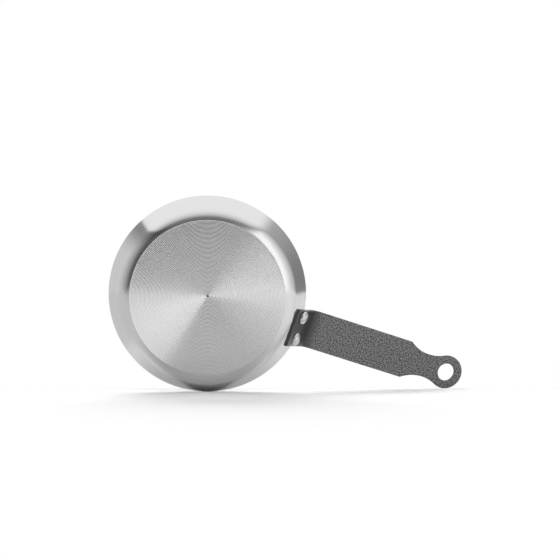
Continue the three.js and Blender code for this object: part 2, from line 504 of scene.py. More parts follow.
@dataclass(frozen=True)
class HammerPaint:
    """Half-gloss grey paint with a hammered mottle, plain and darker over the bend and the tab.

    Attributes:
        name: Name of the material.
        dark: Colour between the raised spots.
        light: Colour on the raised spots.
        plain: Colour where the mottle fades out.
        tab: Colour of the tab's flat.
        worn_and_floor_sheen: Colour along the tab's sides: rubbed paint and a painted reflection of the
            floor.
        grain: Distance between the spots.
        depth: Height of the spots in the mesh.
        spot: Radius of a raised spot in the mesh, as a share of the grain.
        spot_edge: Distances from a spot's middle, as shares of the grain, between which it gets light.
        flat: Distances along the handle, from the pan's axis, between which the tab's flat lies.
        fade: Distances along the handle between which the mottle comes in.
        rub_and_sheen_band: Distances across the handle, from its middle, where the rubbing and painted floor
            reflection come in.
        rub_and_sheen_shift: How much further the rubbing and painted floor reflection reach on one side,
            less on the other.
        rub_and_sheen_from: Distances along the handle between which the rubbing and painted floor reflection
            come in.
        soft: Half the width of the soft edges of the tab's flat.
        seat: Middle of the painted shadow beside each rivet, along the handle and across it.
        shadow_size: Half the painted shadow's length and width.
        shadow_edge: Shares of that size between which the painted shadow gets dark.
        roughness: Least and most roughness of the mottle.
        plain_roughness: Roughness where the mottle fades out.
        patch: Size of the patches of more and less gloss.
        peel: Size of the paint's fine ripples.
        peel_depth: Depth of those ripples.
    """

    name: str = "hammer_paint"
    dark: Colour = (0.043, 0.0435, 0.044, 1.0)
    light: Colour = (0.216, 0.218, 0.220, 1.0)
    plain: Colour = (0.030, 0.0304, 0.0308, 1.0)
    tab: Colour = (0.078, 0.079, 0.080, 1.0)
    worn_and_floor_sheen: Colour = (0.26, 0.26, 0.26, 1.0)
    grain: float = 1.0 * MM
    depth: float = 0.08 * MM
    spot: float = 0.35
    spot_edge: Pair = (0.55, 0.10)
    flat: Pair = (55.0 * MM, 61.2 * MM)
    fade: Pair = (66 * MM, 73.5 * MM)
    rub_and_sheen_band: Pair = (10.6 * MM, 11.1 * MM)
    rub_and_sheen_shift: float = 0.6 * MM
    rub_and_sheen_from: Pair = (55.8 * MM, 58.0 * MM)
    soft: float = 0.4 * MM
    seat: Point = (58.2 * MM, 7 * MM)
    shadow_size: Point = (2.3 * MM, 4.4 * MM)
    shadow_edge: Pair = (1.1, 0.7)
    roughness: Pair = (0.40, 0.50)
    plain_roughness: float = 0.32
    patch: float = 9 * MM
    peel: float = 0.35 * MM
    peel_depth: float = 0.01 * MM

    def painted_rivet_shadow(self, paint: Paint) -> Socket:
        """Painted shadow of the rivets' heads on the tab: how dark the paint is made in their lee.

        Args:
            paint: Tree of the paint.

        Returns:
            The socket of the painted shadow's darkness, from 0 to 1.
        """
        x, y, _ = paint.parts(paint.place)
        along = paint.math("SUBTRACT", x, self.seat[0])
        across = paint.math("SUBTRACT", paint.math("ABSOLUTE", y), self.seat[1])
        along = paint.math("DIVIDE", along, self.shadow_size[0])
        across = paint.math("DIVIDE", across, self.shadow_size[1])
        return paint.ramp(paint.length(along, across), self.shadow_edge)

    def material(self) -> bpy.types.Material:
        """Make the material.

        Returns:
            The material.
        """
        paint = Paint(self.name, {"Metallic": 0.0, "Specular IOR Level": 0.5})
        x, y, _ = paint.parts(paint.place)
        along = paint.ramp(x, self.fade)
        start, end = self.flat
        begins = paint.ramp(x, (start - self.soft, start + self.soft))
        ends = paint.ramp(x, (end - self.soft, end + self.soft), (1.0, 0.0))
        tab = paint.math("MULTIPLY", begins, ends)
        # Rubbed paint and a painted reflection of the floor along the tab's sides, stronger on one side.
        across = paint.math("ABSOLUTE", paint.math("ADD", y, self.rub_and_sheen_shift))
        sides = paint.ramp(across, self.rub_and_sheen_band)
        wear = paint.math("MULTIPLY", sides, paint.math("MULTIPLY", paint.ramp(x, self.rub_and_sheen_from), ends))
        spots = paint.ramp(paint.cells(paint.flat(), self.grain), self.spot_edge)
        patches = paint.noise(paint.place, self.patch)
        # Painted shadow: beside each rivet head the tab's colour goes over to the darker plain colour.
        tab = paint.math("MULTIPLY", tab, paint.math("SUBTRACT", 1.0, self.painted_rivet_shadow(paint)))
        colour = paint.blend(tab, self.plain, self.tab)
        colour = paint.blend(along, colour, paint.blend(spots, self.dark, self.light))
        rough = paint.ramp(patches, CLOUDS, self.roughness)
        paint.set(
            Base_Color=paint.blend(wear, colour, self.worn_and_floor_sheen),
            Roughness=paint.ramp(along, (0.0, 1.0), (self.plain_roughness, rough)),
            Normal=paint.bump(paint.noise(paint.place, self.peel), self.peel_depth),
        )
        return paint.material


@dataclass(frozen=True)
class RivetSteel:
    """Bare steel of the rivets, with the dents of their setting.

    Attributes:
        name: Name of the material.
        levels: Linear levels of the darker and the lighter patches.
        roughness: Least and most roughness.
        dent: Size of the fine dents.
        depth: Depth of those dents.
    """

    name: str = "rivet_steel"
    levels: Pair = (0.62, 0.74)
    roughness: Pair = (0.24, 0.30)
    dent: float = 1.2 * MM
    depth: float = 0.002 * MM

    def material(self) -> bpy.types.Material:
        """Make the material.

        Returns:
            The material.
        """
        paint = Paint(self.name, {"Metallic": 1.0})
        dents = paint.noise(paint.place, self.dent, detail=3.0)
        dark, light = map(grey, self.levels)
        paint.set(
            Base_Color=paint.blend(paint.ramp(dents, CLOUDS), dark, light),
            Roughness=paint.ramp(dents, CLOUDS, self.roughness),
            Normal=paint.bump(dents, self.depth),
        )
        return paint.material


def object_of(
    name: str, points: Sequence[Sequence[float]], links: Sequence[Sequence[int]]
) -> bpy.types.Object:
    """A new object at the origin whose mesh is points joined by edges or faces.

    Args:
        name: Name of the object.
        points: Places of the points.
        links: Numbers of the points of each edge, where there are two, or of each face.

    Returns:
        The object, in the scene.
    """
    mesh = bpy.data.meshes.new(name)
    edges = [link for link in links if len(link) == 2]
    faces = [link for link in links if len(link) > 2]
    mesh.from_pydata(points, edges, faces)
    made = bpy.data.objects.new(name, mesh)
    bpy.context.scene.collection.objects.link(made)
    return made


def profile_object(name: str, profile: Sequence[Point]) -> bpy.types.Object:
    """A new object that holds a profile of (radius, height) points as a line in the XZ plane."""
    points = [(radius, 0.0, height) for radius, height in profile]
    return object_of(name, points, [(i, i + 1) for i in range(len(points) - 1)])


def report(piece: bpy.types.Object) -> None:
    """Log a finished piece and how many triangles it has."""
    piece.data.calc_loop_triangles()
    LOG.info("%s: %d triangles", piece.name, len(piece.data.loop_triangles))


@dataclass
class PanBody:
    """The pan, pressed from one sheet: turned base, bend, flared wall and rounded lip.

    Attributes:
        rim_radius: Outer radius at the widest line.
        rim_height: Height of the widest line.
        base_radius: Radius of the flat base.
        bend_radius: Outer radius of the bend between base and wall.
        edge_slope: Slope of the bend where it leaves the base.
        sheet: Thickness of the sheet.
        lip_round: Radius of the lip's two edges.
        groove_pitch: Distance between the base's turned grooves.
        groove_depth: Depth of a groove.
        groove_peak: Where the tool's long flank ends, as a share of the pitch.
        score_radius: Radius of the one groove that the tool cut deeper.
        score_depth: Depth of that groove, as a multiple of the others'.
        mark_radius: Radius of the lathe centre's mark.
        mark_depth: Depth of that mark.
        off_centre: How far the lathe's centre lies off the pan's axis.
        segments: Facets round the axis.
        arc_steps: Facets of each bend.
        crease: Angle past which an edge is shaded sharp.
    """

    rim_radius: float
    rim_height: float = 19.5 * MM
    base_radius: float = 46.8 * MM
    bend_radius: float = 8.39 * MM
    edge_slope: float = math.radians(5)
    sheet: float = 2.5 * MM
    lip_round: float = 0.7 * MM
    groove_pitch: float = 0.775 * MM
    groove_depth: float = 0.078 * MM
    groove_peak: float = 0.7
    score_radius: float = 17.4 * MM
    score_depth: float = 1.25
    mark_radius: float = 0.8 * MM
    mark_depth: float = 0.5 * MM
    off_centre: Point = (-0.21 * MM, -1.13 * MM)
    segments: int = 240
    arc_steps: int = 16
    crease: float = math.radians(40)

    def __post_init__(self) -> None:
        """Work out the wall, which is tangent to the bend at the base and to the rounding of the lip."""
        self.bend_from = self.edge_slope - QUARTER
        self.bend_centre = Vector((self.base_radius, 0.0)) - self.bend_radius * direction(self.bend_from)
        self.lip_centre = Vector((self.rim_radius - self.lip_round, self.rim_height))
        rise = self.lip_centre - self.bend_centre
        lean = math.asin((self.bend_radius - self.lip_round) / rise.length)
        self.wall_angle = math.atan2(rise.y, rise.x) + lean
        self.up_wall = direction(self.wall_angle)
        self.out_of_wall = direction(self.wall_angle - QUARTER)
        self.wall_foot = self.bend_centre + self.bend_radius * self.out_of_wall
        self.wall_top = self.lip_centre + self.lip_round * self.out_of_wall
        self.wall_length = (self.wall_top - self.wall_foot).length

    def underside(self) -> list[Point]:
        """Points of the flat base from the axis outwards.

        Returns:
            The points of the lathe centre's mark, then four to a groove.
        """
        count = math.floor((self.base_radius - self.mark_radius) / self.groove_pitch)
        shares = (0.0, self.groove_peak / 2, self.groove_peak, (1 + self.groove_peak) / 2)
        turns = [turn + share - count for turn in range(count) for share in shares]
        mark = [(0.0, self.mark_depth), (self.mark_radius / 2, self.mark_depth / 2), (self.mark_radius, 0.0)]
        return [*mark, *((self.base_radius + turn * self.groove_pitch, 0.0) for turn in turns)]

    def profile(self) -> list[Point]:
        """Section of the pan.

        Returns:
            The points from the axis out to the lip and back.
        """
        out = self.wall_angle - QUARTER
        inner_lip = self.lip_centre - (self.sheet - 2 * self.lip_round) * self.out_of_wall
        inner_bend = self.bend_radius - self.sheet
        steps = self.arc_steps
        outer = arc(self.bend_centre, self.bend_radius, self.bend_from, out, steps)
        lip = arc(self.lip_centre, self.lip_round, out, self.wall_angle, steps // 2)
        back = arc(inner_lip, self.lip_round, self.wall_angle, self.wall_angle + QUARTER, steps // 2)
        inner = arc(self.bend_centre, inner_bend, out, self.bend_from, steps)
        return without_repeats(
            [
                *self.underside(),
                *outer,
                *stretch(outer[-1], lip[0], steps // 2),
                *lip,
                *back,
                *stretch(back[-1], inner[0], steps // 2),
                *inner,
                *stretch(inner[-1], (0.0, self.sheet), steps * 2),
            ]
        )

    def tree(self, wall: bpy.types.Material, base: bpy.types.Material) -> ShapeTree:
        """The tree that turns the profile and cuts the base's grooves.

        Args:
            wall: Material of the wall and the inside.
            base: Material of the turned underside.

        Returns:
            The tree, with its sizes.
        """
        sizes = {
            "Segments": self.segments,
            "Base Radius": self.base_radius,
            "Mark Radius": self.mark_radius,
            "Groove Pitch": self.groove_pitch,
            "Groove Depth": self.groove_depth,
            "Groove Peak": self.groove_peak,
            "Score Radius": self.score_radius,
            "Score Depth": self.score_depth,
            "Off Centre": (*self.off_centre, 0.0),
        }
        tree = ShapeTree("turned_pan", {**sizes, "Wall Finish": wall, "Base Finish": base})
        given = tree.given
        shape = tree.turned(given["Geometry"], given["Segments"])
        x, y, z = tree.parts(tree.place())
        radius = tree.length(x, y)
        from_edge = tree.math("SUBTRACT", radius, given["Base Radius"])
        phase = tree.math("FRACT", tree.math("DIVIDE", from_edge, given["Groove Pitch"]))
        short_flank = tree.math("SUBTRACT", 1.0, given["Groove Peak"])
        rise = tree.math("DIVIDE", phase, given["Groove Peak"])
        fall = tree.math("DIVIDE", tree.math("SUBTRACT", 1.0, phase), short_flank)
        off_score = tree.math("ABSOLUTE", tree.math("SUBTRACT", radius, given["Score Radius"]))
        half_pitch = tree.math("DIVIDE", given["Groove Pitch"], 2.0)
        scored = tree.math("LESS_THAN", off_score, half_pitch)
        deeper = tree.ramp(scored, (0.0, 1.0), (1.0, given["Score Depth"]))
        wave = tree.math("MULTIPLY", tree.math("MINIMUM", rise, fall), deeper)
        inside = tree.math("LESS_THAN", radius, given["Base Radius"])
        outside = tree.math("GREATER_THAN", radius, given["Mark Radius"])
        under = tree.math("MULTIPLY", tree.math("LESS_THAN", z, self.sheet / 2), inside)
        last = tree.math("SUBTRACT", given["Base Radius"], half_pitch)
        runs_out = tree.ramp(radius, (given["Base Radius"], last))
        cut = tree.math("MULTIPLY", tree.math("MULTIPLY", under, outside), runs_out)
        depth = tree.math("MULTIPLY", given["Groove Depth"], cut)
        within = tree.math("SUBTRACT", 1.0, tree.math("DIVIDE", radius, given["Base Radius"]))
        aside = tree.scaled(given["Off Centre"], tree.math("MULTIPLY", within, under))
        inwards = tree.vector(0.0, 0.0, tree.math("MULTIPLY", wave, depth))
        grooved = tree.moved(shape, Offset=tree.added(aside, inwards))
        tree.close(grooved, {"Wall Finish": True, "Base Finish": under})
        return tree

    def sharpen(self, mesh: bpy.types.Mesh) -> None:
        """Shade the edge between the base and the bend sharp.

        Args:
            mesh: The pan's mesh.
        """
        start = Vector((self.base_radius, 0.0))
        on_edge = [(Vector((v.co.xy.length, v.co.z)) - start).length < TINY for v in mesh.vertices]
        for edge in mesh.edges:
            if all(on_edge[i] for i in edge.vertices):
                edge.use_edge_sharp = True

    def build(self, wall: bpy.types.Material, base: bpy.types.Material) -> None:
        """Make the pan, which stands for its CAD node.

        Args:
            wall: Material of the wall and the inside.
            base: Material of the turned underside.
        """
        start = profile_object("turned_pan", self.profile())
        piece = self.tree(wall, base).shape(start, self.crease)
        self.sharpen(piece.data)
        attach(piece, BODY)
        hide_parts("pan_body")
        report(piece)


@dataclass
class Handle:
    """The strip handle, cut flat and then bent.

    Flat places are (along, across): along runs from the tab's end over the bend to the eye.

    Attributes:
        pan: The pan that the tab lies against.
        width: Width of the strip.
        thickness: Thickness of the strip.
        edge_round: Radius of the rounded edges.
        clearance: Gap between the wall and the tab.
        tab_below_wall: Length of the tab below the wall's straight.
        bend_above_rim: Length of the tab above the wall's straight.
        bend_radius: Radius of the bend on its hollow side.
        rise: Slope of the grip.
        grip_length: Length of the grip from the bend to the eye's centre.
        eye_radius: Radius of the eye.
        hole_radius: Radius of the hanging hole.
        neck_width: Width between the neck's hollows.
        neck_radius: Radius of the neck's hollows.
        rivet_spacing: Distance between the two rivets.
        rivet_below_rim: Distance of the rivets below the top of the wall's straight.
        rivet_hole_radius: Radius of the rivets' holes.
        mesh_step: Distance between points of the mesh.
        edge_gap: Least distance of the even mesh to an edge, in mesh steps.
        edge_steps: Facets of each rounded edge.
        crease: Angle past which an edge is shaded sharp.
    """

    pan: PanBody
    width: float
    thickness: float = 2.5 * MM
    edge_round: float = 0.7 * MM
    clearance: float = 0.3 * MM
    tab_below_wall: float = 3.48 * MM
    bend_above_rim: float = 5.5 * MM
    bend_radius: float = 12 * MM
    rise: float = math.radians(16.1)
    grip_length: float = 90.2 * MM
    eye_radius: float = 10.5 * MM
    hole_radius: float = 5.5 * MM
    neck_width: float = 14.6 * MM
    neck_radius: float = 24.1 * MM
    rivet_spacing: float = 14 * MM
    rivet_below_rim: float = 8.08 * MM
    rivet_hole_radius: float = 2.8 * MM
    mesh_step: float = 0.5 * MM
    edge_gap: float = 0.6
    edge_steps: int = 4
    crease: float = math.radians(50)

    def __post_init__(self) -> None:
        """Work out where the bend and the eye fall on the flat strip, and the bend's centre."""
        self.middle_radius = self.bend_radius + self.thickness / 2
        gap = self.clearance + self.thickness / 2 + self.middle_radius
        above = self.bend_above_rim * self.pan.up_wall
        self.bend_centre = self.pan.wall_top + above + gap * self.pan.out_of_wall
        self.turn = self.pan.wall_angle - self.rise
        self.rivet_along = self.tab_below_wall + self.pan.wall_length - self.rivet_below_rim
        self.bend_start = self.tab_below_wall + self.pan.wall_length + self.bend_above_rim
        self.eye_along = self.bend_start + self.middle_radius * self.turn + self.grip_length
        self.neck_across = self.neck_width / 2 + self.neck_radius
        apart = self.eye_radius + self.neck_radius
        self.neck_along = self.eye_along - math.sqrt(apart**2 - self.neck_across**2)
        self.eye_to_neck = math.atan2(self.neck_across, self.neck_along - self.eye_along)

    def steps(self, length: float) -> int:
        """Number of mesh steps in a length."""
        return max(1, round(length / self.mesh_step))

    def outline(self, inset: float) -> list[Point]:
        """The strip's outline, drawn in all round.

        Args:
            inset: Distance that it is drawn in by.

        Returns:
            The points, the same number of them whatever the inset.
        """
        half = self.width / 2 - inset
        neck = self.neck_radius + inset
        eye = self.eye_radius - inset
        sweep = math.acos((self.neck_across - half) / neck)
        shoulder = self.neck_along - neck * math.sin(sweep)
        centre = Vector((self.neck_along, self.neck_across))
        neck_steps = self.steps(self.neck_radius)
        side_steps = self.steps(self.eye_along - self.width)
        eye_centre = Vector((self.eye_along, 0.0))
        eye_steps = self.steps(self.eye_radius * self.eye_to_neck)
        upper = [
            *stretch((inset, 0.0), (inset, half), self.steps(self.width / 2)),
            *stretch((inset, half), (shoulder, half), side_steps),
            *arc(centre, neck, -QUARTER - sweep, self.eye_to_neck - math.pi, neck_steps),
            *arc(eye_centre, eye, self.eye_to_neck, 0.0, eye_steps),
        ]
        upper = without_repeats(upper)
        lower = [(along, -across) for along, across in reversed(upper[1:-1])]
        return [*upper, *lower]

    def circle(self, along: float, across: float, radius: float, count: int) -> list[Point]:
        """The points of a round hole."""
        return arc(Vector((along, across)), radius, 0.0, math.tau, count)[:-1]

    def rivet_holes(self) -> list[list[Point]]:
        """The outlines of the two rivet holes.

        Returns:
            The points of each hole.
        """
        count = self.steps(math.tau * self.rivet_hole_radius)
        places = (self.rivet_spacing / 2, -self.rivet_spacing / 2)
        return [self.circle(self.rivet_along, across, self.rivet_hole_radius, count) for across in places]

    def hanging_hole(self, inset: float) -> list[Point]:
        """The outline of the hanging hole, made wider by an inset."""
        count = self.steps(math.tau * self.hole_radius)
        return self.circle(self.eye_along, 0.0, self.hole_radius + inset, count)

    def fill_points(self) -> list[Point]:
        """Points of an even mesh over the strip.

        Returns:
            The points, clear of the strip's edges and holes.
        """
        rows = self.steps(self.width / (2 * ROW)) + 1
        columns = self.steps(self.eye_along + self.eye_radius) + 1
        points = []
        for row in range(-rows, rows + 1):
            across = row * self.mesh_step * ROW
            shift = 0.5 * (row % 2)
            points += [Vector(((column + shift) * self.mesh_step, across)) for column in range(columns)]
        margin = self.edge_round + self.edge_gap * self.mesh_step
        return [tuple(p) for p in points if self.on_strip(p, margin) and self.off_rivets(p, margin)]

    def on_strip(self, point: Vector, margin: float) -> bool:
        """Whether a flat place is on the strip.

        Args:
            point: The flat place.
            margin: Least distance to the outline and to the hanging hole.

        Returns:
            True if it is.
        """
        eye = (point - Vector((self.eye_along, 0.0))).length
        neck = (Vector((point.x, abs(point.y))) - Vector((self.neck_along, self.neck_across))).length
        before_eye = point.x < self.eye_along + self.eye_radius * math.cos(self.eye_to_neck)
        between_sides = margin < point.x and abs(point.y) < self.width / 2 - margin
        on_grip = before_eye and between_sides and neck > self.neck_radius + margin
        return eye > self.hole_radius + margin and (on_grip or eye < self.eye_radius - margin)

    def off_rivets(self, point: Vector, margin: float) -> bool:
        """Whether a flat place is a margin or more from the rivets' holes."""
        rivet = Vector((self.rivet_along, self.rivet_spacing / 2))
        return (Vector((point.x, abs(point.y))) - rivet).length > self.rivet_hole_radius + margin

    def face(self, made: bmesh.types.BMesh) -> None:
        """Add the upper and lower flat faces to a mesh.

        Args:
            made: Mesh that the faces are added to.
        """
        loops = [self.outline(self.edge_round), self.hanging_hole(self.edge_round), *self.rivet_holes()]
        points: list[Point] = []
        links: list[tuple[int, int]] = []
        for loop in loops:
            first = len(points)
            points += loop
            links += [(first + i, first + (i + 1) % len(loop)) for i in range(len(loop))]
        points += self.fill_points()
        places, _, faces, *_ = delaunay_2d_cdt([Vector(p) for p in points], links, [], 0, TINY * MM)
        kept = [face for face in faces if self.on_face(face, places)]
        half = self.thickness / 2
        for height, flip in ((half, False), (-half, True)):
            corners = [made.verts.new((p.x, p.y, height)) for p in places]
            for face in kept:
                order = reversed(face) if flip else face
                made.faces.new([corners[i] for i in order])

    def on_face(self, face: Sequence[int], places: Sequence[Vector]) -> bool:
        """Whether a triangle of the filled outline lies on the strip."""
        middle = sum((places[i] for i in face), Vector((0.0, 0.0))) / len(face)
        return self.on_strip(middle, self.edge_round) and self.off_rivets(middle, 0.0)

    def edge(self, made: bmesh.types.BMesh, loop: Callable[[float], list[Point]], rounding: float) -> None:
        """Add the wall round an outline or a hole, with rounded edges.

        Args:
            made: Mesh that the wall is added to.
            loop: Gives the outline for an inset.
            rounding: Radius of the two edges, 0 for a plain hole.
        """
        half = self.thickness / 2
        turns = [QUARTER * i / self.edge_steps for i in range(self.edge_steps + 1)]
        upper = [(rounding * (1 - math.sin(a)), half - rounding * (1 - math.cos(a))) for a in turns]
        stack = [*upper, *((inset, -height) for inset, height in reversed(upper))]
        rows = [
            [made.verts.new((x, y, height)) for x, y in loop(inset)]
            for inset, height in (stack if rounding else ((0.0, half), (0.0, -half)))
        ]
        for above, below in zip(rows, rows[1:], strict=False):
            for i in range(len(above)):
                j = (i + 1) % len(above)
                made.faces.new((above[i], above[j], below[j], below[i]))

    def blank(self) -> bpy.types.Object:
        """Make the flat strip, before it is bent.

        Returns:
            The object that holds it.
        """
        made = bmesh.new()
        self.face(made)
        self.edge(made, self.outline, self.edge_round)
        self.edge(made, self.hanging_hole, self.edge_round)
        for hole in self.rivet_holes():
            self.edge(made, lambda _, hole=hole: hole, 0.0)
        bmesh.ops.remove_doubles(made, verts=made.verts, dist=TINY)
        bmesh.ops.recalc_face_normals(made, faces=made.faces)
        strip = object_of("strip_handle", [], [])
        made.to_mesh(strip.data)
        made.free()
        return strip

    def tree(self, finish: HammerPaint) -> ShapeTree:
        """The tree that bends the flat strip and raises the hammered spots of its paint.

        Args:
            finish: The paint.

        Returns:
            The tree, with its sizes.
        """
        values = {
            "Bend Centre": (self.bend_centre.x, 0.0, self.bend_centre.y),
            "Bend Start": self.bend_start,
            "Bend Radius": self.middle_radius,
            "Bend Angle": self.turn,
            "Tab Slope": self.pan.wall_angle,
            "Grain": finish.grain,
            "Spot": finish.spot,
            "Depth": finish.depth,
            "Fade From": finish.fade[0],
            "Fade To": finish.fade[1],
            "Finish": finish.material(),
        }
        tree = ShapeTree("bent_strip", values)
        given = tree.given
        along, across, up = tree.parts(tree.place())
        past = tree.math("SUBTRACT", along, given["Bend Start"])
        turn = tree.math("MAXIMUM", tree.math("DIVIDE", past, given["Bend Radius"]), 0.0)
        turn = tree.math("MINIMUM", turn, given["Bend Angle"])
        straight = tree.math("SUBTRACT", past, tree.math("MULTIPLY", turn, given["Bend Radius"]))
        slope = tree.math("SUBTRACT", given["Tab Slope"], turn)
        cosine, sine = tree.math("COSINE", slope), tree.math("SINE", slope)
        radius = tree.math("ADD", given["Bend Radius"], up)
        ahead, rise = tree.math("MULTIPLY", straight, cosine), tree.math("MULTIPLY", straight, sine)
        x = tree.math("SUBTRACT", ahead, tree.math("MULTIPLY", radius, sine))
        z = tree.math("ADD", rise, tree.math("MULTIPLY", radius, cosine))
        bent = tree.added(tree.vector(x, across, z), given["Bend Centre"])
        unrolled = tree.vector(along, tree.math("ADD", across, up))
        strip = tree.moved(tree.mapped(given["Geometry"], unrolled), Position=bent)
        flat = tree.node("GeometryNodeInputNamedAttribute", {"Name": UV_NAME}, data_type="FLOAT_VECTOR")
        spots = tree.math("SUBTRACT", given["Spot"], tree.cells(flat.outputs[0], given["Grain"]))
        fade = tree.ramp(tree.parts(tree.place())["X"], (given["Fade From"], given["Fade To"]))
        height = tree.math("MULTIPLY", spots, tree.math("MULTIPLY", fade, given["Depth"]))
        tree.close(tree.pushed(strip, height), {"Finish": True})
        return tree

    def grip_matrix(self, along: float) -> Matrix:
        """A place in the middle of the grip.

        Args:
            along: Distance from the bend.

        Returns:
            The matrix of the place, with X along the grip and Z out of its upper side.
        """
        ahead, out = direction(self.rise), direction(self.rise + QUARTER)
        middle = self.bend_centre + self.middle_radius * out + along * ahead
        turn = Matrix(((ahead.x, 0.0, ahead.y), (0.0, 1.0, 0.0), (out.x, 0.0, out.y))).transposed()
        return Matrix.Translation((middle.x, 0.0, middle.y)) @ turn.to_4x4()

    def build(self, finish: HammerPaint) -> None:
        """Make the handle, which stands for its CAD node.

        Args:
            finish: The paint on it.
        """
        piece = self.tree(finish).shape(self.blank(), self.crease)
        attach(piece, BODY)
        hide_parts("handle")
        piece.visible_glossy = False
        report(piece)


@dataclass
class Rivets:
    """The two rivets, each turned from one profile: round head outside, shank, and a low head inside.

    Attributes:
        pan: The pan that they hold.
        handle: The handle that they hold to it.
        shank_radius: Radius of the shank.
        outer_radius: Radius of the head on the tab.
        outer_height: Height of that head.
        inner_radius: Radius of the head inside the pan.
        inner_height: Height of that head over the wall.
        head_edge: Height of a head's upright edge.
        sunk: Depth that a head's foot lies in the strip or the sheet, as a share of the strip's thickness.
        dent_depth: Depth of the dents on the heads.
        dent_size: Size of the dents.
        segments: Facets round a rivet.
        dome_steps: Facets from a head's edge to its top.
        crease: Angle past which an edge is shaded sharp.
    """

    pan: PanBody
    handle: Handle
    shank_radius: float = 2.5 * MM
    outer_radius: float = 3.9 * MM
    outer_height: float = 2.6 * MM
    inner_radius: float = 4.2 * MM
    inner_height: float = 2.2 * MM
    head_edge: float = 0.3 * MM
    sunk: float = 0.25
    dent_depth: float = 0.02 * MM
    dent_size: float = 2.6 * MM
    segments: int = 64
    dome_steps: int = 12
    crease: float = math.radians(50)

    def dome(self, radius: float, foot: float, top: float) -> list[Point]:
        """Section of a full dome, upright at its foot, from there to its top on the axis.

        Args:
            radius: Radius of the dome's foot.
            foot: Height of the foot.
            top: Height of the top, above or below the foot.

        Returns:
            The points of the section.
        """
        turns = [direction(QUARTER * i / self.dome_steps) for i in range(self.dome_steps)]
        return [*((radius * turn.x, foot + (top - foot) * turn.y) for turn in turns), (0.0, top)]

    def profile(self) -> list[Point]:
        """Section of a rivet.

        Returns:
            The points, with their height counted from the tab's outer face, out of the wall.
        """
        wall = -(self.handle.clearance + self.handle.thickness + self.pan.sheet)
        sunk = self.handle.thickness * self.sunk
        inner = self.dome(self.inner_radius, wall - self.head_edge, wall - self.inner_height)
        outer = self.dome(self.outer_radius, self.head_edge, self.outer_height)
        waist = [
            (self.inner_radius, wall + sunk),
            (self.shank_radius, wall + sunk),
            (self.shank_radius, -sunk),
            (self.outer_radius, -sunk),
        ]
        return [*reversed(inner), *waist, *outer]

    def tree(self, finish: bpy.types.Material) -> ShapeTree:
        """The tree that turns a rivet, sets a copy at each place and dents the heads.

        Args:
            finish: Material of the rivets.

        Returns:
            The tree, with its sizes.
        """
        pan, handle = self.pan, self.handle
        face = handle.clearance + handle.thickness
        seat = pan.wall_top - handle.rivet_below_rim * pan.up_wall + face * pan.out_of_wall
        values = {
            "Segments": self.segments,
            "Seat": (seat.x, 0.0, seat.y),
            "Tilt": math.pi - pan.wall_angle,
            "Spacing": handle.rivet_spacing,
            "Dent Depth": self.dent_depth,
            "Dent Size": self.dent_size,
            "Finish": finish,
        }
        tree = ShapeTree("rivet_pair", values)
        given = tree.given
        rivet = tree.turned(given["Geometry"], given["Segments"])
        start = tree.vector(0.0, tree.math("MULTIPLY", given["Spacing"], -0.5))
        step = tree.vector(0.0, given["Spacing"])
        places = tree.node("GeometryNodeMeshLine", {"Count": 2, "Start Location": start, "Offset": step})
        pair = tree.node("GeometryNodeInstanceOnPoints", {"Points": places.outputs[0], "Instance": rivet})
        tilt = tree.vector(0.0, given["Tilt"])
        upright = tree.realized(pair.outputs[0])
        placing = {"Geometry": upright, "Translation": given["Seat"], "Rotation": tilt}
        seated = tree.node("GeometryNodeTransform", placing)
        scale = tree.math("DIVIDE", 1.0, given["Dent Size"])
        dents = tree.node("ShaderNodeTexNoise", {"Vector": tree.place(), "Scale": scale, "Detail": 1.0})
        deep = tree.math("SUBTRACT", dents.outputs[0], 0.5)
        height = tree.math("MULTIPLY", deep, given["Dent Depth"])
        tree.close(tree.pushed(seated.outputs[0], height), {"Finish": True})
        return tree

    def build(self, finish: bpy.types.Material) -> None:
        """Make the rivets, which stand for their two CAD nodes.

        Args:
            finish: Material of the rivets.
        """
        start = profile_object("rivet_pair", self.profile())
        piece = self.tree(finish).shape(start, self.crease)
        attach(piece, BODY)
        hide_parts("rivet_left", "rivet_right")
        piece.visible_glossy = False
        report(piece)


